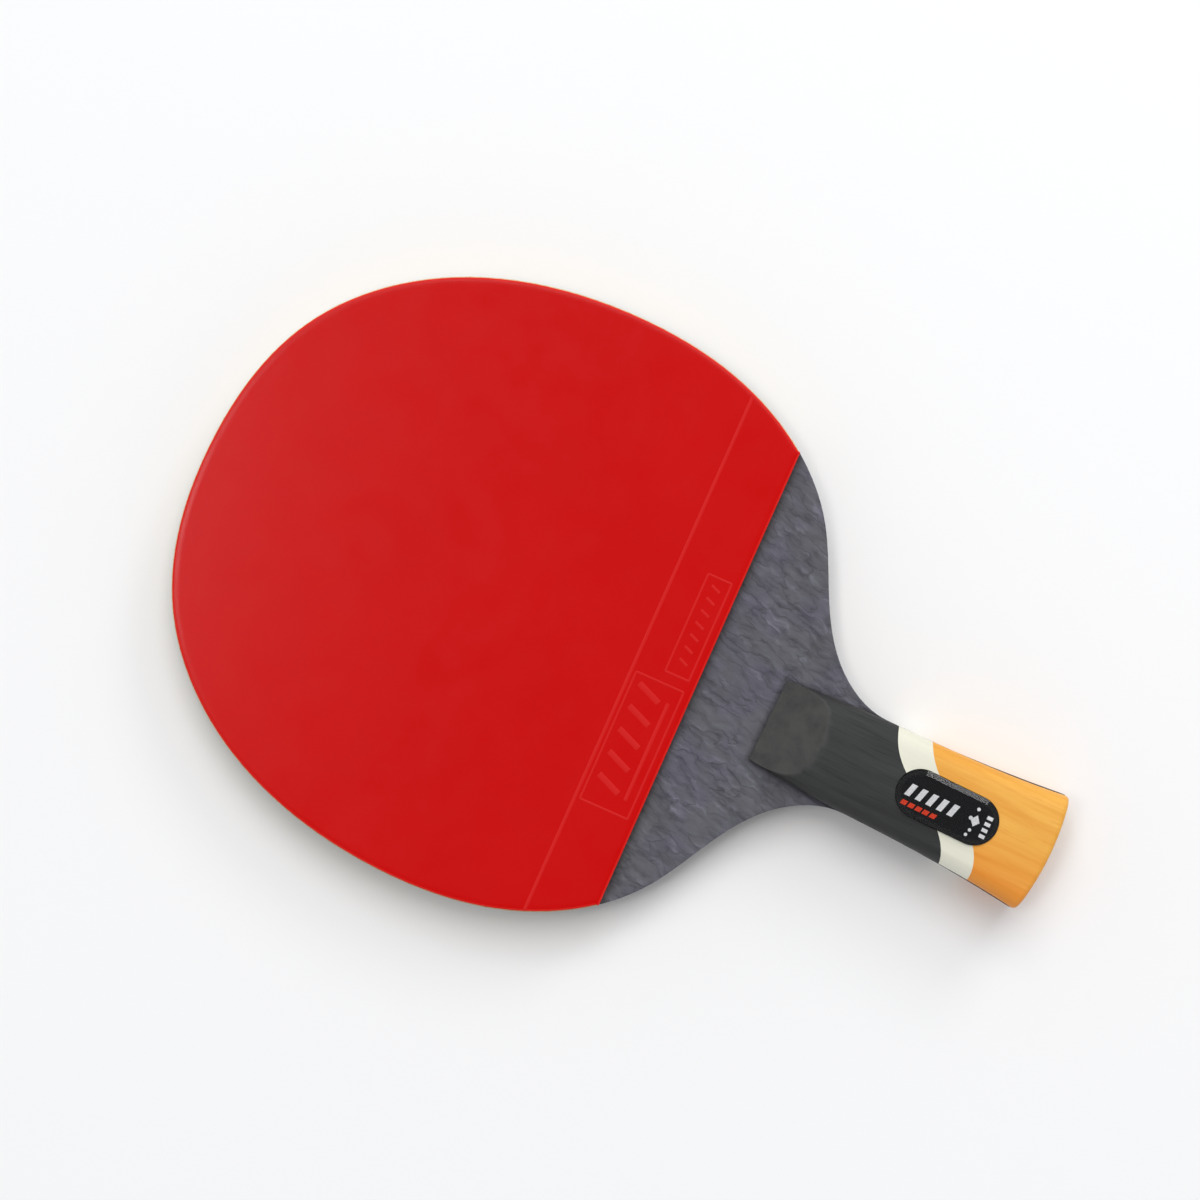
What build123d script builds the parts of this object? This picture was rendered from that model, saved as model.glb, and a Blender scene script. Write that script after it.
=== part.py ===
from build123d import *
from math import cos, radians, sin, tan
import os

# Table tennis paddle for the penhold grip: a seven-ply blade with a rubber sheet on each
# side of the head, and a short handle made of two laminated wooden scales.
# X runs across the head, +Y points to the head's tip, +Z leaves the forehand face.
# The origin is under the middle of the whole paddle, level with its lowest point.
# All sizes are in millimetres.

# Head, seen in plan
head_width = 150.0
head_length = 179.0  # tip to neck, where the blade is narrowest
widest_from_tip = 82.0
neck_width = 25.3
# Points that the outline passes between tip and widest place: share of the half width,
# and share of the way down
tip_curve = ((0.518, 0.110), (0.792, 0.348))
# The same between widest place and neck: share of the step out from the neck, and of the way down
shoulder_curve = ((0.900, 0.382), (0.601, 0.636), (0.309, 0.741), (0.099, 0.846))

# Handle, seen in plan
handle_length = 49.7  # neck to the end of the butt, on the axis
butt_width = 31.0
butt_bulge = 1.6
butt_corner_radius = 1.5
tongue_length = 26.3  # how far the scales reach onto the head
tongue_width = 21.3  # width of the scales at their front edge
ledge = 0.1  # blade edge left standing outside each side of the scales

# Handle scales, seen from the side and the end
scale_height = 8.6  # blade face to crown, at the butt
scale_taper = 1.47  # degrees the crown drops towards the head
crown_rise = 1.6
corner_radius = 4.5
straight_side = 0.4  # least upright wall left under a rounded corner
front_step = 1.2  # thickness of the scales' front edge
ramp_angle = 22.8
butt_round = 1.2

# Joint lines of the light band that crosses the scales, each an S between two turns: distance
# off the axis at the turns, and distance from the butt's end past the right side, at both
# turns and past the left side
front_turns = (3.5, -6.9)
front_joint = (46.9, 40.7, 26.7, 22.9)
back_turns = (5.3, -6.75)
back_joint = (38.5, 31.8, 17.3, 15.7)
joint_overrun = 1.5  # how far the joint lines are drawn past the butt's sides

# Badge, let into the forehand scale
badge_length = 26.7
badge_width = 12.2
badge_from_butt = 27.7  # its middle, from the end of the butt
pocket_depth = 0.9
pocket_clearance = 0.1
badge_plate_thickness = 0.5
badge_lens_thickness = 1.5
lens_bevel_width = 1.3
lens_bevel_height = 0.7

# Blade plies, from the middle outwards
core_thickness = 3.0
inner_veneer_thickness = 0.6
carbon_thickness = 0.2
outer_veneer_thickness = 0.6

# Rubbers
finger_gap = 19.5  # bare blade between the rubber's straight edge and the scales
rubber_slant = 2.0  # degrees the straight edge is off square
sponge_thickness = 2.0
top_sheet_thickness = 1.7

# Places worked out from the sizes
half_blade = core_thickness / 2 + inner_veneer_thickness + carbon_thickness + outer_veneer_thickness
blade_middle = scale_height + half_blade
blade_top = blade_middle + half_blade
middle_plane = Plane.XY.offset(blade_middle)

tip_y = (head_length + handle_length) / 2
widest_y = tip_y - widest_from_tip
neck_y = tip_y - head_length
butt_y = neck_y - handle_length
scale_front_y = neck_y + tongue_length
rubber_edge_y = scale_front_y + finger_gap
butt_corner_y = butt_y + butt_bulge


def save(piece, name):
    piece.label = name
    export_step(piece, f"parts/{name}.step")


os.makedirs("parts", exist_ok=True)

# Plan outline of the blade: one curve round the head from neck to neck, the flanks of the
# handle and the curved butt
tip = (0, tip_y)
widest = (head_width / 2, widest_y)
neck = (neck_width / 2, neck_y)
butt_corner = (butt_width / 2, butt_corner_y)

half_head = [(across * widest[0], tip_y - along * widest_from_tip) for across, along in tip_curve]
half_head.append(widest)
for across, along in shoulder_curve:
    point_x = neck[0] + across * (widest[0] - neck[0])
    half_head.append((point_x, widest_y - along * (widest_y - neck_y)))
half_head.append(neck)
other_half = [(-x, y) for x, y in reversed(half_head)]

with BuildSketch() as blade_outline:
    with BuildLine():
        Spline(*other_half, tip, *half_head, tangents=[(0, 1), (0, -1)], tangent_scalars=[1, 1])
        flank = TangentArc(neck, butt_corner, tangent=(0, -1))
        mirror(flank, about=Plane.YZ)
        ThreePointArc(butt_corner, (0, butt_y), (-butt_corner[0], butt_corner_y))
    make_face()
    fillet(blade_outline.vertices().sort_by(Axis.Y)[:2], butt_corner_radius)

# Blade: core, inner veneers, carbon layers and outer veneers, all cut to one outline
with BuildPart() as core_ply:
    with BuildSketch(Plane.XY.offset(blade_middle - core_thickness / 2)):
        add(blade_outline.sketch)
    extrude(amount=core_thickness)
save(core_ply.part, "core_ply")

veneers = (
    ("inner_veneer", inner_veneer_thickness),
    ("carbon_layer", carbon_thickness),
    ("outer_veneer", outer_veneer_thickness),
)
inner_face = core_thickness / 2
for veneer, thickness in veneers:
    with BuildPart() as forehand_ply:
        with BuildSketch(Plane.XY.offset(blade_middle + inner_face)):
            add(blade_outline.sketch)
        extrude(amount=thickness)
    with BuildPart() as backhand_ply:
        mirror(forehand_ply.part, about=middle_plane)
    save(forehand_ply.part, f"forehand_{veneer}")
    save(backhand_ply.part, f"backhand_{veneer}")
    inner_face += thickness

# Rubbers: a sponge with a top sheet on it, both cut to the head and to the straight edge
slant = radians(rubber_slant)
rubber_edge = Plane(origin=(0, rubber_edge_y, 0), z_dir=(-sin(slant), cos(slant), 0))
sheet_base = half_blade
for layer, thickness in (("sponge", sponge_thickness), ("top_sheet", top_sheet_thickness)):
    with BuildPart() as forehand_layer:
        with BuildSketch(Plane.XY.offset(blade_middle + sheet_base)):
            add(blade_outline.sketch)
        extrude(amount=thickness)
        split(bisect_by=rubber_edge, keep=Keep.TOP)
    with BuildPart() as backhand_layer:
        mirror(forehand_layer.part, about=middle_plane)
    save(forehand_layer.part, f"forehand_{layer}")
    save(backhand_layer.part, f"backhand_{layer}")
    sheet_base += thickness

# Handle scale blank on the forehand side: crowned sections from the front edge to the butt
taper = radians(scale_taper)
crown_y = butt_y + butt_round  # the crown is highest where the butt's rounding starts


def crown_height(y):
    return scale_height - (y - crown_y) * tan(taper)


def flank_half_width(y):
    along = (neck_y - y) / (neck_y - butt_corner_y)
    return (neck_width + (butt_width - neck_width) * along**2) / 2 - ledge


handle_middle_y = (neck_y + butt_y) / 2
stations = (
    (scale_front_y, tongue_width / 2),
    (neck_y, flank_half_width(neck_y)),
    (handle_middle_y, flank_half_width(handle_middle_y)),
    (butt_y, flank_half_width(butt_y)),
)

with BuildPart() as scale_blank:
    for station_y, half in stations:
        crown = blade_top + crown_height(station_y)
        eave = crown - crown_rise
        radius = min(corner_radius, eave - blade_top - straight_side)
        with BuildSketch(Plane.XZ.offset(-station_y)) as section:
            with BuildLine():
                Polyline((-half, eave), (-half, blade_top), (half, blade_top), (half, eave))
                ThreePointArc((half, eave), (0, crown), (-half, eave))
            make_face()
            fillet(section.vertices().sort_by(Axis.Y)[-2:], radius)
    loft()
    ramp = radians(ramp_angle)
    split(
        bisect_by=Plane(
            origin=(0, scale_front_y, blade_top + front_step),
            x_dir=(1, 0, 0),
            z_dir=(0, sin(ramp), cos(ramp)),
        ),
        keep=Keep.BOTTOM,
    )
    with BuildSketch(Plane.XY.offset(blade_top)):
        add(blade_outline.sketch)
    extrude(amount=2 * scale_height, mode=Mode.INTERSECT)
    butt_face = scale_blank.faces().sort_by(Axis.Y)[0]
    fillet(butt_face.edges().filter_by(lambda edge: edge.center().Z > blade_top), butt_round)

# Zones in plan on either side of the light band, which divide the scales


def joint_points(joint, turns):
    reach = butt_width / 2 + joint_overrun
    return [(x, butt_y + distance) for x, distance in zip((reach, *turns, -reach), joint)]


with BuildPart() as fore_zone:
    with BuildSketch():
        with BuildLine():
            joint = Spline(*joint_points(front_joint, front_turns))
            far_y = scale_front_y + joint_overrun
            Polyline(joint @ 1, ((joint @ 1).X, far_y), ((joint @ 0).X, far_y), joint @ 0)
        make_face()
    extrude(amount=2 * blade_middle)

with BuildPart() as butt_zone:
    with BuildSketch():
        with BuildLine():
            joint = Spline(*joint_points(back_joint, back_turns))
            far_y = butt_y - joint_overrun
            Polyline(joint @ 1, ((joint @ 1).X, far_y), ((joint @ 0).X, far_y), joint @ 0)
        make_face()
    extrude(amount=2 * blade_middle)

# Badge: a plate in a pocket in the forehand scale, under a bevelled lens
badge_y = butt_y + badge_from_butt
badge_plane = Plane(
    origin=(0, badge_y, blade_top + crown_height(badge_y)),
    x_dir=(0, 1, 0),
    z_dir=(0, sin(taper), cos(taper)),
)
pocket_floor = badge_plane.offset(-pocket_depth)
lens_base = pocket_floor.offset(badge_plate_thickness)

with BuildPart() as badge_plate:
    with BuildSketch(pocket_floor):
        SlotOverall(badge_length, badge_width)
    extrude(amount=badge_plate_thickness)
save(badge_plate.part, "badge_plate")

with BuildPart() as badge_lens:
    with BuildSketch(lens_base):
        SlotOverall(badge_length, badge_width)
    extrude(amount=badge_lens_thickness)
    lens_top = badge_lens.faces().sort_by(Axis.Z)[-1]
    chamfer(lens_top.edges(), length=lens_bevel_width, length2=lens_bevel_height, reference=lens_top)
save(badge_lens.part, "badge_lens")

# Scales: the forehand one has the badge's pocket, the backhand one is its plain mirror image
with BuildPart() as forehand_scale:
    add(scale_blank.part)
    with BuildSketch(pocket_floor):
        SlotOverall(badge_length + 2 * pocket_clearance, badge_width + 2 * pocket_clearance)
    extrude(amount=scale_height, mode=Mode.SUBTRACT)

with BuildPart() as backhand_scale:
    mirror(scale_blank.part, about=middle_plane)

for side, scale in (("forehand", forehand_scale), ("backhand", backhand_scale)):
    with BuildPart() as scale_fore:
        add(scale.part)
        add(fore_zone.part, mode=Mode.INTERSECT)
    with BuildPart() as scale_butt:
        add(scale.part)
        add(butt_zone.part, mode=Mode.INTERSECT)
    with BuildPart() as scale_band:
        add(scale.part)
        add(fore_zone.part, mode=Mode.SUBTRACT)
        add(butt_zone.part, mode=Mode.SUBTRACT)
    save(scale_fore.part, f"{side}_scale_fore")
    save(scale_band.part, f"{side}_scale_band")
    save(scale_butt.part, f"{side}_scale_butt")
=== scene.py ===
"""Looks of the table tennis paddle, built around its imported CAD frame. Lengths are in metres."""

import math

import bmesh
import bpy
import numpy as np
from mathutils import Matrix, Vector, noise


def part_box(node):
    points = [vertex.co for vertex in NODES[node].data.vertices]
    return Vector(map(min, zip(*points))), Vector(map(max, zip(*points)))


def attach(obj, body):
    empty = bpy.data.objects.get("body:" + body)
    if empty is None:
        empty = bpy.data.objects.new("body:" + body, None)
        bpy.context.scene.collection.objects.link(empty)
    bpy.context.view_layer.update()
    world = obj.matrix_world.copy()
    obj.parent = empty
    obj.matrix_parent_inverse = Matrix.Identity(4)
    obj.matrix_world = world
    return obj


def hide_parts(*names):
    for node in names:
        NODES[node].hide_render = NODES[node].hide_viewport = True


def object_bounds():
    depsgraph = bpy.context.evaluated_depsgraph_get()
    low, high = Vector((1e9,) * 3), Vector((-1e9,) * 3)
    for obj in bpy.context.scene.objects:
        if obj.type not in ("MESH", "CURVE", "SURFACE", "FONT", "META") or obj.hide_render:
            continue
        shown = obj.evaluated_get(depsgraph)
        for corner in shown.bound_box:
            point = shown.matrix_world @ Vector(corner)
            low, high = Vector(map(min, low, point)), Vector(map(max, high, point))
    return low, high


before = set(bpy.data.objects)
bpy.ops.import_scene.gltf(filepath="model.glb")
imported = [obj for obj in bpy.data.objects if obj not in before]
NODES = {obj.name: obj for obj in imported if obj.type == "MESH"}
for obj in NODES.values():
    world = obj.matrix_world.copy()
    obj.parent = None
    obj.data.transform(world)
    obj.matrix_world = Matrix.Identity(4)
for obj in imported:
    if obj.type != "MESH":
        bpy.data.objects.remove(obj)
cad_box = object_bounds()
MM = 0.001

# Rubber top sheets: a sheet with a rounded rim, on rows of pimples
MEMBRANE = 0.8 * MM
RIM_RADIUS = 0.45 * MM
RIM_STEPS = 5
RIM_FALL = 0.05 * MM  # how far the rim lies below the face
RIM_FALL_WIDTH = 1.6 * MM
RIM_SETBACK = 0.32 * MM  # how far the top sheet is trimmed inside its sponge round the head
SHEET_FOOT = (0.08 * MM, 0.12 * MM)  # how far the sheet's lower edge is broken, inwards and upwards
PIMPLE_PITCH = 2.05 * MM
PIMPLE_RADIUS = 0.82 * MM
PIMPLE_FOOT = 1.15  # how much wider a pimple is where it joins the sheet
PIMPLE_FOOT_HEIGHT = 0.2 * MM
PIMPLE_SIDES = 10
PIMPLE_BAND = 9 * MM  # how far in from the rim the pimples are modelled
PIMPLE_OVERLAP = 0.02 * MM  # how far they reach into the sheet
CORE_INSET = 7 * MM  # the solid middle that stands for the rest of them
CORE_OVERLAP = 0.1 * MM

# Marks moulded into the rubber beside its straight edge: distances from that edge
RIDGE_HEIGHT = 0.06 * MM
BORDER_FROM_EDGE = 16.2 * MM
BORDER_WIDTH = 0.85 * MM
FRAME_LINE = 0.55 * MM
SMALL_FRAME = (26 * MM, 0 * MM, 2.2 * MM, 8.5 * MM)  # right, left, near, far
LARGE_FRAME = (-3 * MM, -37 * MM, 2.2 * MM, 14.9 * MM)
# Bars in the frames: width, lean, and gaps to the near and far frame lines
SMALL_BAR = (0.7 * MM, 1.0 * MM, 1.9 * MM, 1.9 * MM)
LARGE_BAR = (1.5 * MM, 2.6 * MM, 4.6 * MM, 1.8 * MM)
SMALL_BAR_PLACES = [(k + 1) / 8 for k in range(7)]  # shares of the way across the frame
LARGE_BAR_PLACES = [(k + 0.8) / 5.6 for k in range(5)]
UNDERLINE = (0.9 * MM, 4 * MM, 2.4 * MM)  # width, and gaps to the side and near frame lines
RIDGE_FOOT = 0.05 * MM  # how far a ridge is let into the rubber's face
RIDGE_INDEX, CUT_INDEX = 1, 2  # places of these two materials in a rubber sheet's list

# Blade veneers, sponges and badge
VENEER_ROUND = 0.15 * MM
VENEER_STEPS = 4
SPONGE_PORE = 0.10 * MM
SPONGE_LEVELS = 9
SPONGE_INSET = 0.02 * MM
PORE_SCALE = 2300
PORE_SHARE = 0.35  # the higher it is, the more of the cut edge is pitted
BADGE_BEVEL_STEPS = 5
BADGE_NEAR = 0.01 * MM  # points this close to the badge's top or side lie on it
PLATE_EDGE = 0.08 * MM
LENS_LIFT = 0.04 * MM  # clears the print on the plate
INK_TOP = 0.03 * MM
INK_FOOT = -0.02 * MM
WHITE_INDEX, RED_INDEX = 1, 2  # places of the inks in the badge plate's list

# Handle scales, and painted shade and shadow on the wood round them
SCALE_FRONT_HALF = 10.65 * MM  # half the width of their front edge
SCALE_SPREAD = 0.065  # how much wider they get on each side per unit towards the neck
RAMP_STEP = 1.2 * MM  # height of their front edge above the blade's face
RAMP_SLOPE = math.tan(math.radians(22.8))
RAMP_FADE = 0.7 * MM
FOOT_SHADE_WIDTH = 1.8 * MM  # of the soft dark shade on the veneer beside the scales
RUBBER_SHADE_WIDTH = 3.2 * MM  # and along the rubber's straight edge
GRAIN_TURN = math.radians(14)  # how far the face veneer's crinkles run off the blade's length
SHADED_LEFT_FLANK = (-12 * MM, 2 * MM)  # X where the painted shade on the left flank is full, and where it ends

# Meshes made from outlines
CORNER_ANGLE = math.radians(25)  # a sharper turn than this is a corner
CORNER_REACH = 30 * MM  # how far from a corner the outline's points slide as it is inset
CAP_LAND = 0.3 * MM  # the flat rim kept round every cap
SAME = 1e-6  # places closer than this are one place

# Floor and camera. The camera looks straight down, rolled so that the handle points to the
# picture's lower right.
FLOOR_HALF = 4.0
FLOOR_GAP = 0.02 * MM
CAMERA_TURN = math.radians(-64.0)
CAMERA_HEIGHT = 1.2
FRAME_WIDTH = 0.2936  # what the picture's width takes in, at the rubber's face
SENSOR_WIDTH = 36
VIEW_CENTRE = Vector((8.3 * MM, 11.6 * MM, 0.0))

# Light from all round, shaded between two heights: Z of its direction, and colour
HORIZON = (0.25, (0.985, 0.995, 1.01, 1))
ZENITH = (0.95, (0.29, 0.30, 0.32, 1))
WORLD_STRENGTH = 0.755


# ---------------------------------------------------------------- plan outlines and meshes


def plan_outline(node, step):
    """Closed plan outline of a flat CAD node, anticlockwise, at even steps between its sharp corners."""
    mesh = bmesh.new()
    mesh.from_mesh(NODES[node].data)
    bmesh.ops.remove_doubles(mesh, verts=mesh.verts, dist=SAME)
    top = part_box(node)[1][2]
    joined = {}
    for edge in mesh.edges:
        on_top = all(abs(v.co.z - top) < SAME for v in edge.verts)
        if on_top and any(abs(face.normal.z) < 0.5 for face in edge.link_faces):
            a, b = edge.verts
            joined.setdefault(a.index, []).append(b.index)
            joined.setdefault(b.index, []).append(a.index)
    mesh.verts.ensure_lookup_table()
    first = next(iter(joined))
    loop = [first]
    last, here = None, first
    while True:
        onward = [i for i in joined[here] if i != last]
        last, here = here, onward[0]
        if here == first:
            break
        loop.append(here)
    points = [Vector(mesh.verts[i].co.xy) for i in loop]
    mesh.free()
    area = sum(a.x * b.y - b.x * a.y for a, b in zip(points, points[1:] + points[:1]))
    if area < 0:
        points.reverse()
    return resample(points, step)


def corner_turn(points, i):
    """How sharply a closed outline turns at one of its points."""
    before = points[i] - points[i - 1]
    after = points[(i + 1) % len(points)] - points[i]
    return abs(before.angle_signed(after, 0.0))


def resample(points, step):
    """The outline with its points at even steps between its corners."""
    corners = [i for i in range(len(points)) if corner_turn(points, i) > CORNER_ANGLE]
    start = corners[0] if corners else 0
    points = points[start:] + points[:start]
    stops = [i - start for i in corners if i > start] + [len(points)]
    even = []
    begin = 0
    for stop in stops:
        span = [points[i % len(points)] for i in range(begin, stop + 1)]
        lengths = [0.0]
        for a, b in zip(span, span[1:]):
            lengths.append(lengths[-1] + (b - a).length)
        count = max(2, round(lengths[-1] / step))
        at = np.linspace(0, lengths[-1], count + 1)[:-1]
        xs = np.interp(at, lengths, [p.x for p in span])
        ys = np.interp(at, lengths, [p.y for p in span])
        even += [Vector((x, y)) for x, y in zip(xs, ys)]
        begin = stop
    return even


def inward(points):
    """For each point of an anticlockwise outline, the step that moves its sides in by one unit.

    Points near a sharp corner also slide away from it, so that the sides stay in order."""
    count = len(points)
    lengths = [0.0]
    for a, b in zip(points, points[1:] + points[:1]):
        lengths.append(lengths[-1] + (b - a).length)
    whole = lengths[-1]
    corners = [(i, corner_turn(points, i)) for i in range(count)]
    corners = [(i, turn) for i, turn in corners if turn > CORNER_ANGLE]
    steps = []
    for i, point in enumerate(points):
        before = (point - points[i - 1]).normalized()
        after = (points[(i + 1) % count] - point).normalized()
        normal = Vector((-before.y - after.y, before.x + after.x)).normalized()
        half_turn = before.angle(after, 0.0) / 2
        step = normal / math.cos(half_turn)
        for corner, turn in corners:
            gap = (lengths[i] - lengths[corner] + whole / 2) % whole - whole / 2
            if corner != i and abs(gap) < CORNER_REACH:
                away = after if gap > 0 else -before
                step = step + away * math.tan(turn / 2) * (1 - abs(gap) / CORNER_REACH)
        steps.append(step)
    return steps


def join_loops(mesh, loops):
    """Joins loops of vertices into a closed skin with flat ends, and returns its faces."""
    faces = []
    count = len(loops[0])
    for low, high in zip(loops, loops[1:]):
        for i in range(count):
            j = (i + 1) % count
            faces.append(mesh.faces.new((low[i], low[j], high[j], high[i])))
    faces.append(mesh.faces.new(list(reversed(loops[0]))))
    faces.append(mesh.faces.new(loops[-1]))
    return faces


def circle(x, y, radius, sides):
    turn = 2 * math.pi / sides
    return [(x + radius * math.cos(k * turn), y + radius * math.sin(k * turn)) for k in range(sides)]


def stadium(half_length, half_width, steps=28):
    """Outline with round ends, anticlockwise."""
    reach = half_length - half_width
    points = []
    for end in (0, 1):
        for k in range(steps + 1):
            angle = math.pi * (end + k / steps) - math.pi / 2
            centre = reach if end == 0 else -reach
            points.append(Vector((centre + half_width * math.cos(angle), half_width * math.sin(angle))))
    return points


def rounded_rings(base, top, radius, steps):
    """Rings that rise straight from the base and turn in over a rounded top edge."""
    rings = [(0.0, base), (0.0, top - radius)]
    for k in range(1, steps + 1):
        angle = math.pi / 2 * k / steps
        rings.append((radius * (1 - math.cos(angle)), top - radius * (1 - math.sin(angle))))
    return rings


def stack(points, rings, wobble=None):
    """A closed solid from an outline: rings of (inset, height) from bottom to top, with flat caps."""
    mesh = bmesh.new()
    steps = inward(points)
    rings = [(rings[0][0] + CAP_LAND, rings[0][1]), *rings, (rings[-1][0] + CAP_LAND, rings[-1][1])]
    loops = []
    for level, (inset, height) in enumerate(rings):
        loop = []
        for i, (point, step) in enumerate(zip(points, steps)):
            extra = wobble(i, level) if wobble else 0.0
            place = point + step * (inset + extra)
            loop.append(mesh.verts.new((place.x, place.y, height)))
        loops.append(loop)
    join_loops(mesh, loops)
    return mesh


def piece(name, mesh, material, node, sharp=40):
    """Makes an object from a bmesh, which rides on the paddle and stands for a CAD node."""
    data = bpy.data.meshes.new(name)
    mesh.to_mesh(data)
    mesh.free()
    for polygon in data.polygons:
        polygon.use_smooth = True
    data.set_sharp_from_angle(angle=math.radians(sharp))
    for one in material if isinstance(material, list) else [material]:
        data.materials.append(one)
    obj = bpy.data.objects.new(name, data)
    bpy.context.scene.collection.objects.link(obj)
    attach(obj, "root")
    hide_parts(node)


def flip(mesh, middle):
    """Mirrors a mesh about the blade's middle plane, with its faces still looking outwards."""
    for vert in mesh.verts:
        vert.co.z = 2 * middle - vert.co.z
    bmesh.ops.reverse_faces(mesh, faces=mesh.faces)


# ---------------------------------------------------------------- places read from the frame

core_low, core_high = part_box("core_ply")
MIDDLE_Z = (core_low[2] + core_high[2]) / 2
FACE_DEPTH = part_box("forehand_outer_veneer")[1][2] - MIDDLE_Z
SCALE_FRONT_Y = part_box("forehand_scale_fore")[1][1]

# The rubber's straight edge runs between the outline's two sharp corners
rubber_outline = plan_outline("forehand_top_sheet", 0.5 * MM)
sharp_corners = [p for i, p in enumerate(rubber_outline) if corner_turn(rubber_outline, i) > CORNER_ANGLE]
edge_left, edge_right = sorted(sharp_corners, key=lambda p: p.x)
EDGE_ALONG = (edge_right - edge_left).normalized()
EDGE_UP = Vector((-EDGE_ALONG.y, EDGE_ALONG.x))
EDGE_MIDDLE = edge_left + EDGE_ALONG * (-edge_left.x / EDGE_ALONG.x)
AT_EDGE = 0.1 * MM  # points closer to that edge than this lie on it


# ---------------------------------------------------------------- materials


class Shader:
    """Builds one node material; each method adds a node and returns its output."""

    def __init__(self, name):
        self.material = bpy.data.materials.new(name)
        self.material.use_nodes = True
        self.tree = self.material.node_tree
        self.tree.nodes.clear()
        self.out = self.add("ShaderNodeOutputMaterial")
        self.place = self.add("ShaderNodeTexCoord").outputs["Object"]

    def add(self, kind):
        return self.tree.nodes.new(kind)

    def put(self, socket, value):
        """Links an output to a socket, or sets the socket to a plain value."""
        if isinstance(value, bpy.types.NodeSocket):
            self.tree.links.new(value, socket)
        elif value is not None:
            socket.default_value = value

    def stretch(self, scale, turn=0.0, source=None):
        """Turned and scaled coordinates; the higher a scale, the finer the texture along that axis."""
        node = self.add("ShaderNodeMapping")
        self.put(node.inputs["Vector"], source or self.place)
        node.inputs["Scale"].default_value = scale
        node.inputs["Rotation"].default_value = (0, 0, turn)
        return node.outputs[0]

    def noise(self, vector, scale=1.0, detail=4.0, rough=0.55):
        node = self.add("ShaderNodeTexNoise")
        self.put(node.inputs["Vector"], vector)
        node.inputs["Scale"].default_value = scale
        node.inputs["Detail"].default_value = detail
        node.inputs["Roughness"].default_value = rough
        return node.outputs["Fac"]

    def cells(self, vector, feature="F1"):
        node = self.add("ShaderNodeTexVoronoi")
        node.feature = feature
        self.put(node.inputs["Vector"], vector)
        node.inputs["Scale"].default_value = 1.0
        return node.outputs["Distance"]

    def ramp(self, value, stops):
        node = self.add("ShaderNodeValToRGB")
        ramp = node.color_ramp
        while len(ramp.elements) < len(stops):
            ramp.elements.new(0.5)
        for element, (position, colour) in zip(ramp.elements, stops):
            element.position = position
            element.color = (*colour, 1) if isinstance(colour, tuple) else (colour,) * 3 + (1,)
        self.put(node.inputs["Fac"], value)
        return node.outputs["Color"]

    def mix(self, share, a, b):
        node = self.add("ShaderNodeMix")
        node.data_type = "RGBA"
        self.put(node.inputs["Factor"], share)
        colours = [s for s in node.inputs if s.type == "RGBA"]
        for socket, value in zip(colours, (a, b)):
            self.put(socket, (*value, 1) if isinstance(value, tuple) else value)
        return [s for s in node.outputs if s.type == "RGBA"][0]

    def maths(self, what, a, b=None):
        node = self.add("ShaderNodeMath")
        node.operation = what
        self.put(node.inputs[0], a)
        self.put(node.inputs[1], b)
        return node.outputs[0]

    def between(self, value, low, high):
        """Spreads a value from 0 to 1 over a range."""
        node = self.add("ShaderNodeMapRange")
        self.put(node.inputs["Value"], value)
        node.inputs["To Min"].default_value = low
        node.inputs["To Max"].default_value = high
        return node.outputs[0]

    def axis(self, vector, name):
        node = self.add("ShaderNodeSeparateXYZ")
        self.put(node.inputs[0], vector)
        return node.outputs[name]

    def bend(self, vector, push, scale):
        """Moves a vector by a push in X, Y and Z that follows a soft noise."""
        wave = self.add("ShaderNodeTexNoise")
        self.put(wave.inputs["Vector"], vector)
        wave.inputs["Scale"].default_value = scale
        wave.inputs["Detail"].default_value = 2.0
        centred = self.add("ShaderNodeVectorMath")
        centred.operation = "SUBTRACT"
        self.put(centred.inputs[0], wave.outputs["Color"])
        centred.inputs[1].default_value = (0.5, 0.5, 0.5)
        pushed = self.add("ShaderNodeVectorMath")
        pushed.operation = "MULTIPLY"
        self.put(pushed.inputs[0], centred.outputs[0])
        pushed.inputs[1].default_value = push
        total = self.add("ShaderNodeVectorMath")
        total.operation = "ADD"
        self.put(total.inputs[0], vector)
        self.put(total.inputs[1], pushed.outputs[0])
        return total.outputs[0]

    def bump(self, height, distance, strength, under=None):
        """A bumped normal, on top of another one where that is given."""
        node = self.add("ShaderNodeBump")
        self.put(node.inputs["Height"], height)
        node.inputs["Distance"].default_value = distance
        node.inputs["Strength"].default_value = strength
        if under:
            self.put(node.inputs["Normal"], under)
        return node.outputs[0]

    def finish(self, colour, rough, normal=None, specular=0.5):
        """Ends the material with one shader, and returns the material."""
        shader = self.add("ShaderNodeBsdfPrincipled")
        self.put(shader.inputs["Base Color"], colour)
        self.put(shader.inputs["Roughness"], rough)
        shader.inputs["Specular IOR Level"].default_value = specular
        if normal:
            self.put(shader.inputs["Normal"], normal)
        self.put(self.out.inputs["Surface"], shader.outputs[0])
        return self.material


def srgb(red, green, blue):
    """A linear colour from 8-bit screen values."""
    channels = []
    for value in (red, green, blue):
        share = value / 255
        channels.append(share / 12.92 if share <= 0.04045 else ((share + 0.055) / 1.055) ** 2.4)
    return tuple(channels)


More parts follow.
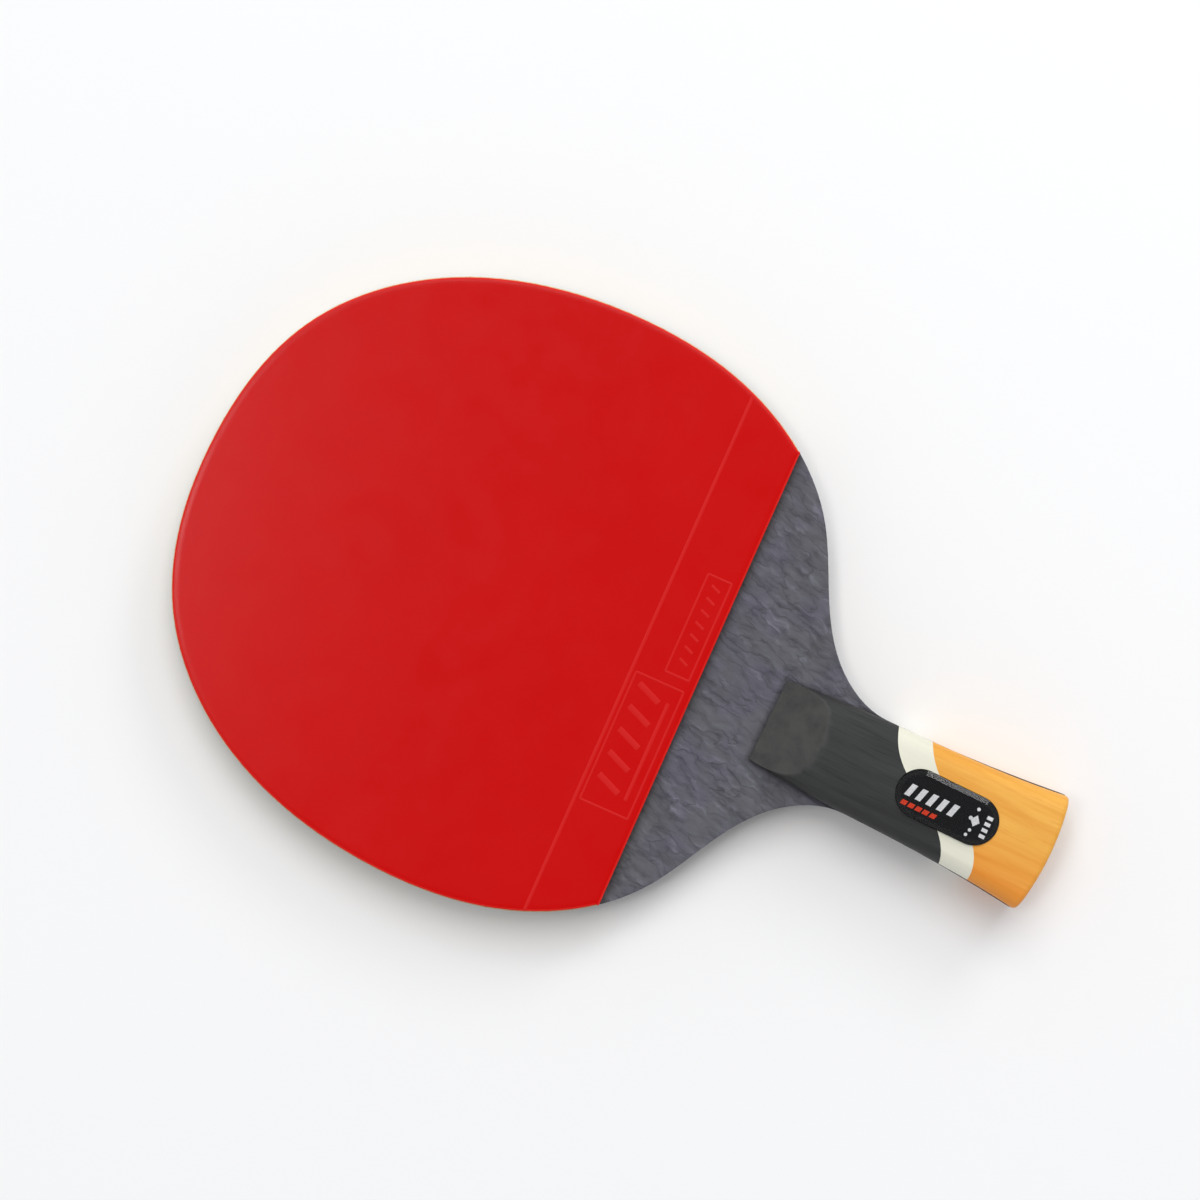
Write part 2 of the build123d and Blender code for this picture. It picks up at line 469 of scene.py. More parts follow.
def rubber_material(name, deep, light, rough):
    """Smooth moulded rubber with faint clouding, fine dust and a trace of its pimples."""
    s = Shader(name)
    cloud = s.noise(s.place, scale=45, detail=3)
    colour = s.mix(s.between(cloud, 0.0, 1.0), deep, light)
    speck = s.noise(s.place, scale=3800, detail=1)
    colour = s.mix(s.ramp(speck, [(0.70, 0.0), (0.80, 0.12)]), colour, light)
    sheen = s.noise(s.place, scale=110, detail=4)
    rough_map = s.between(sheen, rough - 0.05, rough + 0.06)
    skin = s.noise(s.place, scale=1400, detail=3)
    normal = s.bump(skin, 0.02 * MM, 0.5)
    dimples = s.cells(s.stretch((490, 490, 0)), "SMOOTH_F1")
    normal = s.bump(dimples, 0.012 * MM, 0.25, normal)
    return s.finish(colour, rough_map, normal, specular=0.13)


def sponge_material():
    """Pale foam rubber with open pores in its cut edge, painted darker as the shade inside them."""
    s = Shader("sponge_foam")
    pores = s.cells(s.stretch((3600, 3600, 3600)))
    fine = s.noise(s.place, scale=2600, detail=4)
    tone = s.mix(s.between(fine, 0.0, 1.0), srgb(222, 202, 150), srgb(243, 230, 190))
    # painted shade inside the pores
    pore_shade = s.ramp(pores, [(0.10, 1.0), (0.32, 0.0)])
    colour = s.mix(pore_shade, tone, srgb(150, 122, 74))
    normal = s.bump(pores, 0.12 * MM, 0.8)
    return s.finish(colour, s.between(fine, 0.8, 0.95), normal, specular=0.2)


def plain_wood_material(name, pale, dark):
    """Sanded light wood seen on the cut edges of the plies, with grain along the blade."""
    s = Shader(name)
    bent = s.bend(s.place, (0.5 * MM, 0.0, 0.25 * MM), 60)
    grain = s.noise(s.stretch((2400, 70, 5200), source=bent), detail=6, rough=0.62)
    colour = s.mix(s.ramp(grain, [(0.34, 0.0), (0.66, 1.0)]), dark, pale)
    pores = s.noise(s.stretch((5200, 420, 5200)), detail=2)
    colour = s.mix(s.ramp(pores, [(0.66, 0.0), (0.74, 0.55)]), colour, tuple(c * 0.55 for c in dark))
    normal = s.bump(grain, 0.05 * MM, 0.5)
    return s.finish(colour, s.between(grain, 0.55, 0.72), normal, specular=0.35)


def carbon_material():
    """Thin layer of dark fibres in glue."""
    s = Shader("carbon_layer")
    fibres = s.noise(s.stretch((900, 4200, 9000)), detail=4)
    colour = s.ramp(fibres, [(0.35, srgb(18, 18, 20)), (0.7, srgb(52, 53, 57))])
    return s.finish(colour, s.between(fibres, 0.35, 0.55), s.bump(fibres, 0.03 * MM, 0.5))


def fall_off(s, distance, width):
    """1 where a distance is nothing, falling to 0 at a width."""
    node = s.add("ShaderNodeMapRange")
    node.interpolation_type = "SMOOTHSTEP"
    s.put(node.inputs["Value"], distance)
    node.inputs["From Min"].default_value = 0.0
    node.inputs["From Max"].default_value = width
    node.inputs["To Min"].default_value = 1.0
    node.inputs["To Max"].default_value = 0.0
    return node.outputs[0]


def painted_scale_shade_mask(s):
    """Painted shade: 1 on the blade's face right beside the scales' front part, falling to 0 a little way
    off.
    """
    x = s.maths("ABSOLUTE", s.axis(s.place, "X"))
    y = s.axis(s.place, "Y")
    widening = s.maths("MULTIPLY", s.maths("SUBTRACT", SCALE_FRONT_Y, y), SCALE_SPREAD)
    beside = s.maths("SUBTRACT", s.maths("SUBTRACT", x, SCALE_FRONT_HALF), widening)
    ahead = s.maths("SUBTRACT", y, SCALE_FRONT_Y)
    return fall_off(s, s.maths("MAXIMUM", beside, ahead), FOOT_SHADE_WIDTH)


def painted_rubber_shadow_mask(s):
    """Painted shadow of the rubber: 1 on the blade's face along its straight edge, falling to 0 a few
    millimetres off.
    """
    x = s.maths("MULTIPLY", s.axis(s.place, "X"), EDGE_UP.x)
    y = s.maths("MULTIPLY", s.axis(s.place, "Y"), EDGE_UP.y)
    level = EDGE_MIDDLE.dot(EDGE_UP)
    return fall_off(s, s.maths("SUBTRACT", level, s.maths("ADD", x, y)), RUBBER_SHADE_WIDTH)


def face_veneer_material():
    """Blue-grey dyed veneer with crinkled, curly grain that runs roughly along the blade, with painted
    shade beside the scales and a painted shadow along the rubber's straight edge.
    """
    s = Shader("dyed_face_veneer")
    bent = s.bend(s.place, (2.2 * MM, 4 * MM, 0.0), 190)
    bent = s.bend(bent, (0.9 * MM, 1.6 * MM, 0.0), 700)
    bent = s.stretch((1, 1, 1), turn=GRAIN_TURN, source=bent)
    strokes = s.noise(s.stretch((620, 190, 200), source=bent), detail=4, rough=0.52)
    quilt = s.noise(s.stretch((230, 120, 100), source=bent), detail=3)
    patches = s.ramp(s.noise(s.place, scale=150, detail=2), [(0.36, 0.50), (0.58, 1.0)])
    strokes = s.mix(patches, (0.5, 0.5, 0.5), strokes)
    wander = s.noise(s.stretch((300, 115, 200), source=bent), detail=2, rough=0.45)
    off_crease = s.maths("ABSOLUTE", s.maths("SUBTRACT", wander, 0.5))
    crease = s.ramp(off_crease, [(0.0, 1.0), (0.025, 0.45), (0.085, 0.0)])
    crease = s.mix(patches, (0.0, 0.0, 0.0), crease)
    fibre = s.noise(s.stretch((5200, 260, 900)), detail=3)
    tone = s.ramp(
        strokes,
        [
            (0.32, srgb(66, 65, 71)),
            (0.45, srgb(89, 88, 95)),
            (0.57, srgb(99, 98, 106)),
            (0.70, srgb(122, 121, 131)),
        ],
    )
    hue = s.noise(s.place, scale=75, detail=2)
    tone = s.mix(s.ramp(hue, [(0.45, 0.0), (0.60, 0.35)]), tone, srgb(92, 90, 110))
    tone = s.mix(s.ramp(hue, [(0.35, 0.30), (0.48, 0.0)]), tone, srgb(92, 94, 94))
    tone = s.mix(s.ramp(quilt, [(0.35, 0.40), (0.65, 0.0)]), tone, srgb(76, 75, 82))
    tone = s.mix(s.ramp(fibre, [(0.64, 0.0), (0.80, 0.25)]), tone, srgb(64, 63, 69))
    tone = s.mix(s.maths("MULTIPLY", crease, 0.50), tone, srgb(56, 55, 61))
    # painted shade on the veneer round the foot of the scales
    tone = s.mix(s.maths("MULTIPLY", painted_scale_shade_mask(s), 0.6), tone, srgb(42, 42, 44))
    # painted shadow cast by the rubber on the veneer along its straight edge
    tone = s.mix(s.maths("MULTIPLY", painted_rubber_shadow_mask(s), 0.5), tone, srgb(46, 45, 44))
    normal = s.bump(strokes, 0.45 * MM, 0.85)
    normal = s.bump(s.maths("SUBTRACT", 1.0, crease), 0.14 * MM, 0.7, normal)
    normal = s.bump(quilt, 0.40 * MM, 0.6, normal)
    normal = s.bump(fibre, 0.02 * MM, 0.5, normal)
    return s.finish(tone, s.between(strokes, 0.52, 0.64), normal, specular=0.25)


def ramp_mask(s):
    """1 on the sloping flat at the front of the scales, and 0 on their crown behind it."""
    depth = s.maths("ABSOLUTE", s.maths("SUBTRACT", s.axis(s.place, "Z"), MIDDLE_Z))
    height = s.maths("SUBTRACT", depth, FACE_DEPTH)
    climb = s.maths("MULTIPLY", s.maths("SUBTRACT", SCALE_FRONT_Y, s.axis(s.place, "Y")), RAMP_SLOPE)
    under = s.maths("SUBTRACT", s.maths("ADD", climb, RAMP_STEP), height)
    ragged = s.between(s.noise(s.place, scale=420, detail=3), -0.5 * MM, 0.5 * MM)
    return fall_off(s, s.maths("ADD", under, ragged), RAMP_FADE)


def dyed_wood_material(name, main, dark, light, streak, rough, specular, left=None, lit_front_flat=None):
    """Dyed wood of the handle, with lengthwise grain.

    The left flank may take a painted shade, and the sloping flat at the front a painted light, each a
    tone of its own."""
    s = Shader(name)
    bent = s.bend(s.place, (0.9 * MM, 0.0, 0.5 * MM), 75)
    broad = s.noise(s.stretch((330, 16, 330), source=bent), detail=4, rough=0.6)
    fine = s.noise(s.stretch((1700, 55, 1700), source=bent), detail=5, rough=0.65)
    dash = s.noise(s.stretch((3300, 330, 3300), source=bent), detail=2)
    colour = s.mix(s.ramp(broad, [(0.30, 0.0), (0.70, 1.0)]), dark, light)
    colour = s.mix(0.45, colour, main)
    # painted shade: the left flank, which turns away from the light, blends to a deeper tone
    if left:
        across = s.add("ShaderNodeMapRange")
        s.put(across.inputs["Value"], s.axis(s.place, "X"))
        across.inputs["From Min"].default_value = SHADED_LEFT_FLANK[0]
        across.inputs["From Max"].default_value = SHADED_LEFT_FLANK[1]
        across.inputs["To Min"].default_value = 1.0
        across.inputs["To Max"].default_value = 0.0
        colour = s.mix(across.outputs[0], colour, s.mix(0.5, colour, left))
    colour = s.mix(s.ramp(fine, [(0.52, 0.0), (0.74, streak)]), colour, dark)
    colour = s.mix(s.ramp(dash, [(0.68, 0.0), (0.78, streak)]), colour, dark)
    # painted light: the sloping flat at the front, which faces the light, takes a lighter tone
    if lit_front_flat:
        blotch = s.ramp(s.noise(s.place, scale=260, detail=3), [(0.35, 0.45), (0.65, 0.95)])
        colour = s.mix(s.mix(ramp_mask(s), (0.0, 0.0, 0.0), blotch), colour, lit_front_flat)
    normal = s.bump(fine, 0.05 * MM, 0.45)
    return s.finish(colour, s.between(fine, rough - 0.05, rough + 0.07), normal, specular)


def foil_material():
    """Black glossy printed foil of the badge, with a very fine brushed grain."""
    s = Shader("badge_black_foil")
    grain = s.noise(s.stretch((5200, 300, 900)), detail=3)
    colour = s.ramp(grain, [(0.3, srgb(5, 5, 6)), (0.75, srgb(14, 14, 16))])
    return s.finish(colour, s.between(grain, 0.3, 0.4), s.bump(grain, 0.01 * MM, 0.3), specular=0.05)


def print_material(name, main, dim):
    """Screen-printed ink with slightly uneven cover."""
    s = Shader(name)
    cover = s.noise(s.place, scale=2600, detail=3)
    colour = s.mix(s.ramp(cover, [(0.35, 0.0), (0.65, 1.0)]), dim, main)
    return s.finish(colour, s.between(cover, 0.4, 0.5), s.bump(cover, 0.01 * MM, 0.4), specular=0.1)


def lens_material():
    """Clear hard resin: light goes straight through, and the surface mirrors at grazing angles."""
    s = Shader("badge_clear_resin")
    wave = s.noise(s.place, scale=190, detail=2)
    normal = s.bump(wave, 0.01 * MM, 0.1)
    gloss = s.add("ShaderNodeBsdfGlossy")
    gloss.inputs["Color"].default_value = (1, 1, 1, 1)
    s.put(gloss.inputs["Roughness"], s.between(wave, 0.05, 0.09))
    s.put(gloss.inputs["Normal"], normal)
    clear = s.add("ShaderNodeBsdfTransparent")
    clear.inputs["Color"].default_value = (0.99, 0.99, 0.99, 1)
    edge = s.add("ShaderNodeFresnel")
    edge.inputs["IOR"].default_value = 1.33
    s.put(edge.inputs["Normal"], normal)
    both = s.add("ShaderNodeMixShader")
    s.put(both.inputs[0], edge.outputs[0])
    s.put(both.inputs[1], clear.outputs[0])
    s.put(both.inputs[2], gloss.outputs[0])
    s.put(s.out.inputs["Surface"], both.outputs[0])
    return s.material


RED_RUBBER = rubber_material("red_rubber_sheet", srgb(194, 4, 4), srgb(199, 10, 9), 0.20)
# The ridges are lighter than the sheet: dust on them, and a painted sheen.
RED_RIDGE_DUST_AND_SHEEN = rubber_material("red_rubber_ridge_dust_and_sheen", srgb(200, 19, 17), srgb(206, 27, 24), 0.5)
# a matt cut edge, painted lighter than the sheet as a highlight on the rounded rim
RED_CUT_EDGE_HIGHLIGHT = rubber_material("red_rubber_cut_edge_highlight", srgb(210, 24, 18), srgb(219, 36, 28), 0.55)
BLACK_RUBBER = rubber_material("black_rubber_sheet", srgb(20, 20, 21), srgb(31, 31, 32), 0.40)
# The ridges are lighter than the sheet: dust on them, and a painted sheen.
BLACK_RIDGE_DUST_AND_SHEEN = rubber_material("black_rubber_ridge_dust_and_sheen", srgb(34, 34, 35), srgb(43, 43, 44), 0.5)
# a matt cut edge, painted lighter than the sheet as a highlight on the rounded rim
BLACK_CUT_EDGE_HIGHLIGHT = rubber_material("black_rubber_cut_edge_highlight", srgb(42, 42, 43), srgb(52, 52, 53), 0.55)
FOAM = sponge_material()
CORE_WOOD = plain_wood_material("core_wood", srgb(226, 196, 148), srgb(186, 146, 98))
INNER_WOOD = plain_wood_material("inner_veneer_wood", srgb(211, 176, 126), srgb(163, 122, 78))
CARBON = carbon_material()
FACE_VENEER = face_veneer_material()
DARK_WOOD = dyed_wood_material(
    "dark_dyed_wood",
    srgb(54, 54, 55),
    srgb(38, 39, 39),
    srgb(68, 69, 68),
    streak=0.7,
    rough=0.58,
    specular=0.14,
    # painted light on the sloping front flat
    lit_front_flat=srgb(73, 73, 71),
)
PALE_WOOD = dyed_wood_material(
    "pale_dyed_wood",
    srgb(226, 224, 208),
    srgb(214, 212, 193),
    srgb(232, 231, 216),
    streak=0.25,
    rough=0.5,
    specular=0.2,
)
ORANGE_WOOD = dyed_wood_material(
    "orange_dyed_wood",
    srgb(233, 169, 67),
    srgb(213, 136, 45),
    srgb(240, 187, 92),
    streak=0.6,
    rough=0.5,
    specular=0.2,
    # painted shade on the left flank, which turns away from the light
    left=srgb(228, 118, 32),
)
FOIL = foil_material()
WHITE_PRINT = print_material("white_print", srgb(240, 240, 240), srgb(216, 217, 220))
RED_PRINT = print_material("orange_red_print", srgb(232, 66, 26), srgb(205, 50, 18))
LENS = lens_material()

for cad_node, material in {
    "core_ply": CORE_WOOD,
    "forehand_inner_veneer": INNER_WOOD,
    "backhand_inner_veneer": INNER_WOOD,
    "forehand_carbon_layer": CARBON,
    "backhand_carbon_layer": CARBON,
    "forehand_scale_fore": DARK_WOOD,
    "backhand_scale_fore": DARK_WOOD,
    "forehand_scale_band": PALE_WOOD,
    "backhand_scale_band": PALE_WOOD,
    "forehand_scale_butt": ORANGE_WOOD,
    "backhand_scale_butt": ORANGE_WOOD,
}.items():
    NODES[cad_node].data.materials.clear()
    NODES[cad_node].data.materials.append(material)


# ---------------------------------------------------------------- blade faces

blade_outline = plan_outline("forehand_outer_veneer", 0.4 * MM)

for side in ("forehand", "backhand"):
    low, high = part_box("forehand_outer_veneer")
    veneer = stack(blade_outline, rounded_rings(low[2], high[2], VENEER_ROUND, VENEER_STEPS))
    if side == "backhand":
        flip(veneer, MIDDLE_Z)
    piece(f"{side}_face_veneer", veneer, FACE_VENEER, f"{side}_outer_veneer")


# ---------------------------------------------------------------- rubbers


def set_back(points):
    """The outline trimmed round the head, and left as it is along the straight edge."""
    trimmed = []
    for point, step in zip(points, inward(points)):
        at_edge = (point - EDGE_MIDDLE).dot(EDGE_UP) < AT_EDGE
        trimmed.append(point if at_edge else point + step * RIM_SETBACK)
    return trimmed


sheet_outline = set_back(rubber_outline)


def on_rubber(across, up):
    """The plan point at a distance across from the axis, and up the head from the straight edge."""
    return EDGE_MIDDLE + EDGE_ALONG * across + EDGE_UP * up


def add_ridge(mesh, start, end, width, top):
    """A low rounded ridge between two plan points, with its foot just under the rubber's face."""
    run = (end - start).normalized()
    side = Vector((-run.y, run.x))
    foot = top - RIDGE_FOOT
    shoulder = top + 0.8 * RIDGE_HEIGHT
    profile = [(-0.5, foot), (-0.5, top), (-0.25, shoulder), (0.0, top + RIDGE_HEIGHT)]
    profile += [(0.25, shoulder), (0.5, top), (0.5, foot)]
    ends = []
    for plan in (start, end):
        ends.append([mesh.verts.new((*(plan + side * width * s), z)) for s, z in profile])
    for face in join_loops(mesh, ends):
        face.material_index = RIDGE_INDEX


def width_at(up):
    """How far the rubber reaches to the left and right on a line parallel to its straight edge."""
    level = [(p - EDGE_MIDDLE).dot(EDGE_UP) - up for p in rubber_outline]
    across = []
    for i, point in enumerate(rubber_outline):
        if level[i - 1] * level[i] < 0:
            share = level[i - 1] / (level[i - 1] - level[i])
            crossing = rubber_outline[i - 1].lerp(point, share)
            across.append((crossing - EDGE_MIDDLE).dot(EDGE_ALONG))
    return min(across), max(across)


def add_bars(mesh, panel, bar, places, top):
    """A row of slanted bars in a framed panel."""
    right, left, near, far = panel
    width, lean, near_gap, far_gap = bar
    for share in places:
        across = left + (right - left) * share
        start = on_rubber(across, near + near_gap)
        end = on_rubber(across + lean, far - far_gap)
        add_ridge(mesh, start, end, width, top)


def add_marks(mesh, top):
    """The moulded border line and two framed panels of plain bars."""
    left, right = width_at(BORDER_FROM_EDGE)
    rim = RIM_FALL_WIDTH / 2
    border = (on_rubber(left + rim, BORDER_FROM_EDGE), on_rubber(right - rim, BORDER_FROM_EDGE))
    add_ridge(mesh, *border, BORDER_WIDTH, top)
    for right, left, near, far in (SMALL_FRAME, LARGE_FRAME):
        corners = [(left, near), (right, near), (right, far), (left, far)]
        for a, b in zip(corners, corners[1:] + corners[:1]):
            add_ridge(mesh, on_rubber(*a), on_rubber(*b), FRAME_LINE, top)
    add_bars(mesh, SMALL_FRAME, SMALL_BAR, SMALL_BAR_PLACES, top)
    add_bars(mesh, LARGE_FRAME, LARGE_BAR, LARGE_BAR_PLACES, top)
    right, left, near, far = LARGE_FRAME
    width, side_gap, near_gap = UNDERLINE
    start = on_rubber(left + side_gap, near + near_gap)
    end = on_rubber(right - side_gap, near + near_gap)
    add_ridge(mesh, start, end, width, top)


def add_pimples(mesh, low, high):
    """Rows of short round pimples between the sheet and the sponge, near the rim."""
    rim = np.array([(p.x, p.y) for p in sheet_outline])
    following = np.roll(rim, -1, axis=0)
    lo, hi = rim.min(axis=0), rim.max(axis=0)
    row_step = PIMPLE_PITCH * math.sqrt(3) / 2
    rows = int((hi[1] - lo[1]) / row_step) + 1
    columns = int((hi[0] - lo[0]) / PIMPLE_PITCH) + 1
    for row in range(rows):
        y = lo[1] + row * row_step
        shift = PIMPLE_PITCH / 2 if row % 2 else 0.0
        for column in range(columns):
            x = lo[0] + shift + column * PIMPLE_PITCH
            crossed = (rim[:, 1] > y) != (following[:, 1] > y)
            a, b = rim[crossed], following[crossed]
            hits = a[:, 0] + (y - a[:, 1]) / (b[:, 1] - a[:, 1]) * (b[:, 0] - a[:, 0])
            if (hits > x).sum() % 2 == 0:
                continue
            distance = np.hypot(rim[:, 0] - x, rim[:, 1] - y).min()
            if PIMPLE_RADIUS < distance < PIMPLE_BAND:
                add_pimple(mesh, x, y, low, high)


def add_pimple(mesh, x, y, low, high):
    """One round pimple, which widens where it joins the sheet."""
    profile = (
        (PIMPLE_RADIUS, low),
        (PIMPLE_RADIUS, high - PIMPLE_FOOT_HEIGHT),
        (PIMPLE_RADIUS * PIMPLE_FOOT, high),
    )
    loops = []
    for radius, z in profile:
        outline = circle(x, y, radius, PIMPLE_SIDES)
        loops.append([mesh.verts.new((*place, z)) for place in outline])
    join_loops(mesh, loops)


def top_sheet_mesh():
    """A membrane with a rounded rim and moulded marks, on its pimples and their solid middle."""
    low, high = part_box("forehand_top_sheet")
    base, top = low[2], high[2] - RIDGE_HEIGHT
    under = top - MEMBRANE
    foot_in, foot_up = SHEET_FOOT
    rings = [(foot_in, under), *rounded_rings(under + foot_up, top - RIM_FALL, RIM_RADIUS, RIM_STEPS)]
    rings.append(((RIM_RADIUS + RIM_FALL_WIDTH) / 2, top - 0.3 * RIM_FALL))
    rings.append((RIM_FALL_WIDTH, top))
    mesh = stack(sheet_outline, rings)
    mesh.normal_update()
    # The rim and cut edge take the lighter cut-edge material, a painted highlight.
    for face in mesh.faces:
        if len(face.verts) == 4 and face.calc_center_median().z > under and face.normal.z < 0.99:
            face.material_index = CUT_INDEX
    middle = stack(rubber_outline[::4], [(CORE_INSET, base), (CORE_INSET, under + CORE_OVERLAP)])
    data = bpy.data.meshes.new("middle")
    middle.to_mesh(data)
    middle.free()
    mesh.from_mesh(data)
    bpy.data.meshes.remove(data)
    add_pimples(mesh, base, under + PIMPLE_OVERLAP)
    add_marks(mesh, top)
    return mesh


def sponge_mesh():
    """A layer of foam whose cut edge is pitted with pores."""
    low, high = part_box("forehand_sponge")
    step = (high[2] - low[2]) / (SPONGE_LEVELS - 1)
    heights = [low[2] + step * k for k in range(SPONGE_LEVELS)]
    ring_heights = [heights[0], *heights, heights[-1]]  # with the caps' own rings

    def pore(i, level):
        point = rubber_outline[i]
        place = Vector((point.x, point.y, ring_heights[level])) * PORE_SCALE
        return SPONGE_PORE * max(0.0, noise.noise(place) + PORE_SHARE)

    return stack(rubber_outline, [(SPONGE_INSET, z) for z in heights], pore)


for side, rubber, slot in (
    ("forehand", [RED_RUBBER, RED_RIDGE_DUST_AND_SHEEN, RED_CUT_EDGE_HIGHLIGHT], "red_rubber"),
    ("backhand", [BLACK_RUBBER, BLACK_RIDGE_DUST_AND_SHEEN, BLACK_CUT_EDGE_HIGHLIGHT], "black_rubber"),
):
    sheet = top_sheet_mesh()
    sponge = sponge_mesh()
    if side == "backhand":
        flip(sheet, MIDDLE_Z)
        flip(sponge, MIDDLE_Z)
    piece(f"{side}_rubber_sheet", sheet, rubber, f"{side}_top_sheet")
    piece(f"{side}_foam_layer", sponge, FOAM, f"{side}_sponge", sharp=60)


# ---------------------------------------------------------------- badge

plate_low, plate_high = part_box("badge_plate")


def badge_frame():
    """Matrix from badge coordinates, X along the badge towards the head and Z out of it, to the
    paddle's frame, with its origin in the middle of the plate's face."""
    mesh = NODES["badge_plate"].data
    widest = max(mesh.polygons, key=lambda face: face.area * (face.normal.z > 0.9))
    out = widest.normal.copy()
    along = Vector((0, out.z, -out.y))
    across = out.cross(along)
    middle = Vector([(a + b) / 2 for a, b in zip(plate_low, plate_high)])
    lift = (widest.center - middle).dot(out)
    origin = middle + out * lift
    matrix = Matrix((along, across, out)).transposed().to_4x4()
    matrix.translation = origin
    return matrix


# The badge's own sizes, measured on its CAD nodes
BADGE = badge_frame()
into_badge = BADGE.inverted()
lens_points = [into_badge @ v.co for v in NODES["badge_lens"].data.vertices]
plate_points = [into_badge @ v.co for v in NODES["badge_plate"].data.vertices]
BADGE_HALF_LENGTH = max(p.x for p in lens_points)
BADGE_HALF_WIDTH = max(p.y for p in lens_points)
LENS_TOP = max(p.z for p in lens_points)
LENS_FOOT = min(p.z for p in lens_points)
PLATE_FOOT = min(p.z for p in plate_points)
lens_flat = [p for p in lens_points if p.z > LENS_TOP - BADGE_NEAR]
LENS_BEVEL = BADGE_HALF_WIDTH - max(p.y for p in lens_flat)
lens_side_top = max(p.z for p in lens_points if p.y > BADGE_HALF_WIDTH - BADGE_NEAR)


def to_badge(mesh):
    """Moves a mesh from badge coordinates to its place on the paddle."""
    bmesh.ops.transform(mesh, matrix=BADGE, verts=mesh.verts)


def add_print(mesh, outline, material_index):
    """A flat patch of ink on the plate. Its outline is in millimetres from the badge's middle, with
    X towards the butt, because the print runs that way."""
    loops = []
    for z in (INK_FOOT, INK_TOP):
        loops.append([mesh.verts.new((-x * MM, -y * MM, z)) for x, y in outline])
    for face in join_loops(mesh, loops):
        face.material_index = material_index


def slanted_bar(x, y, width, height, lean):
    """A bar that stands on its lower left corner and leans along X."""
    return [(x, y), (x + width, y), (x + width + lean, y + height), (x + lean, y + height)]


# Print, in millimetres: tall white bars over low red ones, then dots, a diamond and a last row of
# white bars at the butt's end. It stands for no lettering.
BARS_START = -10.9
BAR_WIDTH = 1.45
DOTS = ((7.2, 2.9, 0.45), (6.3, 0.2, 0.5), (7.3, -2.6, 0.42), (6.9, -4.0, 0.42))  # X, Y and radius
tall_bars = [slanted_bar(BARS_START + 2.85 * k, -1.7, BAR_WIDTH, height=3.2, lean=0.9) for k in range(5)]
low_bars = [slanted_bar(BARS_START + 1.95 * k, -4.1, BAR_WIDTH, height=1.2, lean=0.35) for k in range(5)]
dots = [circle(x, y, radius, sides=20) for x, y, radius in DOTS]
diamond = [(6.4, -0.1), (7.6, -1.5), (8.8, -0.1), (7.6, 1.5)]
end_bars = [slanted_bar(9.9, -3.2 + 1.6 * k, width=1.5, height=0.9, lean=0.0) for k in range(4)]

plate = stack(
    stadium(BADGE_HALF_LENGTH, BADGE_HALF_WIDTH),
    [(0.0, PLATE_FOOT), (0.0, -PLATE_EDGE), (PLATE_EDGE, 0.0)],
)
for outline in tall_bars:
    add_print(plate, outline, WHITE_INDEX)
for outline in low_bars:
    add_print(plate, outline, RED_INDEX)
for outline in (*dots, diamond, *end_bars):
    add_print(plate, outline, WHITE_INDEX)
to_badge(plate)
piece("badge_printed_plate", plate, [FOIL, WHITE_PRINT, RED_PRINT], "badge_plate")

lens_rings = [(0.0, LENS_FOOT + LENS_LIFT), (0.0, lens_side_top)]
for k in range(1, BADGE_BEVEL_STEPS + 1):
    share = k / BADGE_BEVEL_STEPS
    lens_rings.append((LENS_BEVEL * share, lens_side_top + (LENS_TOP - lens_side_top) * share))
lens = stack(stadium(BADGE_HALF_LENGTH, BADGE_HALF_WIDTH), lens_rings)
to_badge(lens)
piece("badge_clear_cover", lens, LENS, "badge_lens", sharp=12)


# ---------------------------------------------------------------- floor, light and camera


def floor_material():
    """Plain matt paper."""
    s = Shader("studio_floor")
    tone = s.noise(s.place, scale=3.0, detail=2)
    colour = s.mix(s.between(tone, 0.0, 1.0), (0.90, 0.90, 0.90), (0.91, 0.91, 0.91))
    return s.finish(colour, 0.9, specular=0.1)


def leaning_floor():
    """The paddle lies on the end of its handle and the rim of its head, so the floor leans to
    touch both."""
    low_y, high_y = cad_box[0][1], cad_box[1][1]
    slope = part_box("backhand_top_sheet")[0][2] / (high_y - low_y)
    mesh = bmesh.new()
    corners = []
    for x, y in ((-1, -1), (1, -1), (1, 1), (-1, 1)):
        height = slope * (y * FLOOR_HALF - low_y)
        corners.append(mesh.verts.new((x * FLOOR_HALF, y * FLOOR_HALF, height - FLOOR_GAP)))
    mesh.faces.new(corners)
    data = bpy.data.meshes.new("floor")
    mesh.to_mesh(data)
    mesh.free()
    data.materials.append(floor_material())
    obj = bpy.data.objects.new("floor", data)
    bpy.context.scene.collection.objects.link(obj)
    return obj


floor = leaning_floor()


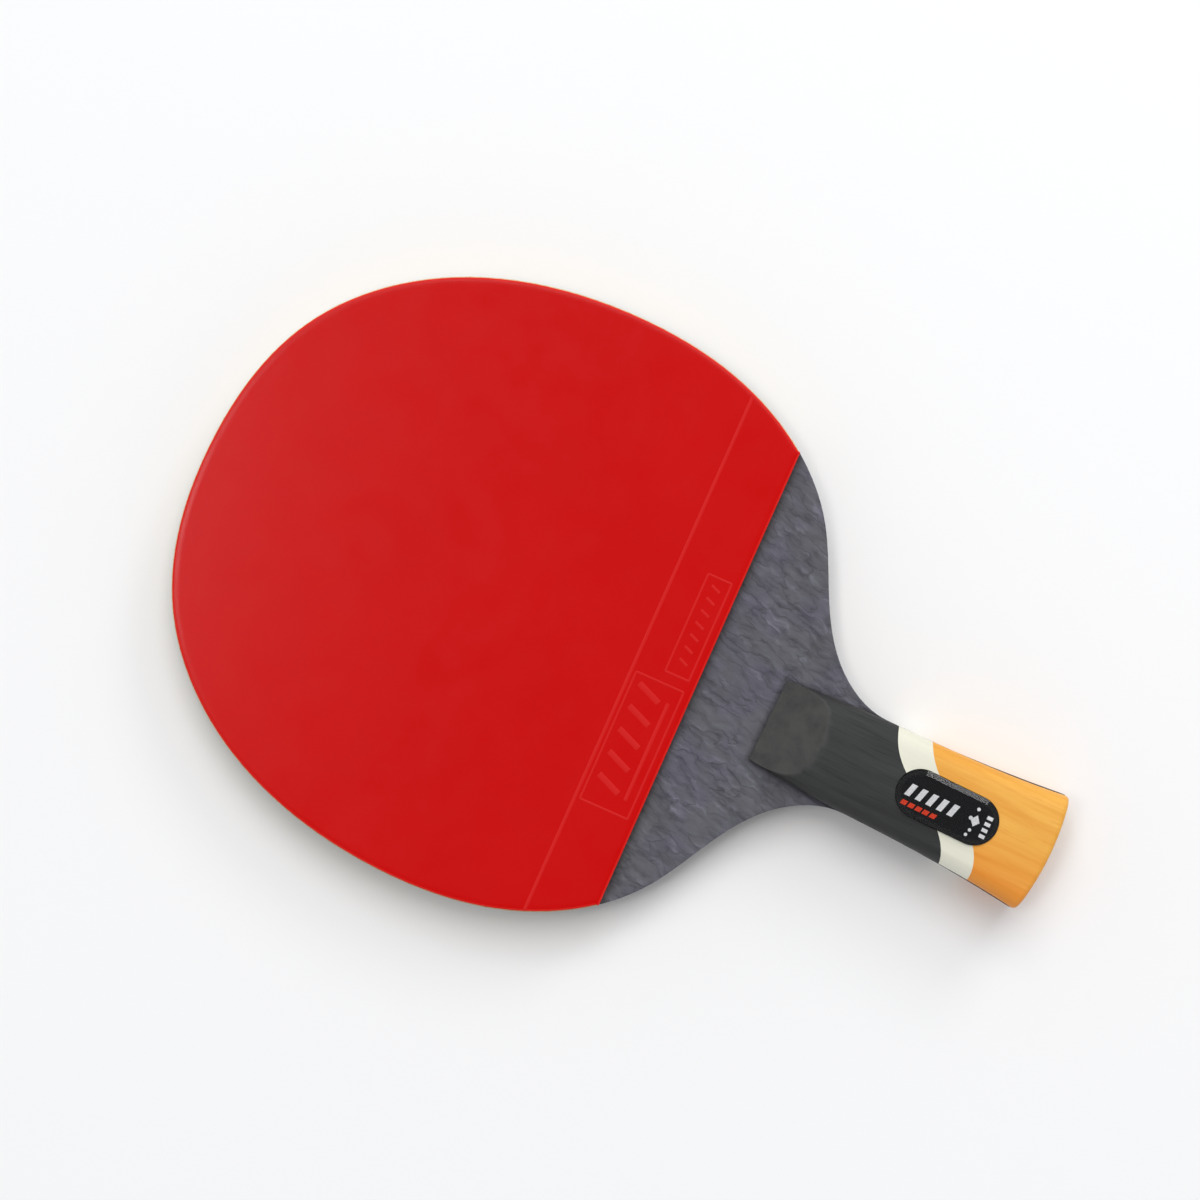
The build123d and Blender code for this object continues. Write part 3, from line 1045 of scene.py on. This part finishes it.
def overhead_camera():
    """A camera straight over the middle of the picture."""
    data = bpy.data.cameras.new("camera")
    data.sensor_width = SENSOR_WIDTH
    data.lens = SENSOR_WIDTH * CAMERA_HEIGHT / FRAME_WIDTH
    data.clip_start = 0.01
    data.clip_end = 50
    camera = bpy.data.objects.new("camera", data)
    bpy.context.scene.collection.objects.link(camera)
    face_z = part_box("forehand_top_sheet")[1][2]
    camera.location = VIEW_CENTRE + Vector((0, 0, face_z + CAMERA_HEIGHT))
    camera.rotation_euler = (0, 0, CAMERA_TURN)
    return camera


bpy.context.scene.camera = overhead_camera()
screen_right = Vector((math.cos(CAMERA_TURN), math.sin(CAMERA_TURN), 0))
screen_up = Vector((-math.sin(CAMERA_TURN), math.cos(CAMERA_TURN), 0))


def softbox(name, right, up, height, size, power):
    """A square area light placed in screen directions and aimed at the paddle."""
    light = bpy.data.lights.new(name, "AREA")
    light.shape = "SQUARE"
    light.size = size
    light.energy = power
    obj = bpy.data.objects.new(name, light)
    bpy.context.scene.collection.objects.link(obj)
    obj.location = VIEW_CENTRE + screen_right * right + screen_up * up + Vector((0, 0, height))
    aim = VIEW_CENTRE - obj.location
    obj.rotation_euler = aim.to_track_quat("-Z", "Y").to_euler()


softbox("key_light", right=0.2, up=2.35, height=4.5, size=3.2, power=136.0)
softbox("sheen_light", right=-0.84, up=0.20, height=3.6, size=0.6, power=15.0)
softbox("strip_light", right=0.70, up=0.98, height=0.82, size=0.5, power=4.0)


def studio_world():
    """Soft light from all round, brighter from the sides than from above."""
    world = bpy.data.worlds.new("studio")
    world.use_nodes = True
    tree = world.node_tree
    tree.nodes.clear()
    out = tree.nodes.new("ShaderNodeOutputWorld")
    background = tree.nodes.new("ShaderNodeBackground")
    where = tree.nodes.new("ShaderNodeTexCoord")
    split = tree.nodes.new("ShaderNodeSeparateXYZ")
    shade = tree.nodes.new("ShaderNodeValToRGB")
    tree.links.new(where.outputs["Generated"], split.inputs[0])
    tree.links.new(split.outputs["Z"], shade.inputs["Fac"])
    for element, (position, colour) in zip(shade.color_ramp.elements, (HORIZON, ZENITH)):
        element.position = position
        element.color = colour
    tree.links.new(shade.outputs["Color"], background.inputs["Color"])
    background.inputs["Strength"].default_value = WORLD_STRENGTH
    tree.links.new(background.outputs[0], out.inputs["Surface"])
    return world


bpy.context.scene.world = studio_world()
bpy.context.scene.view_settings.view_transform = "Standard"
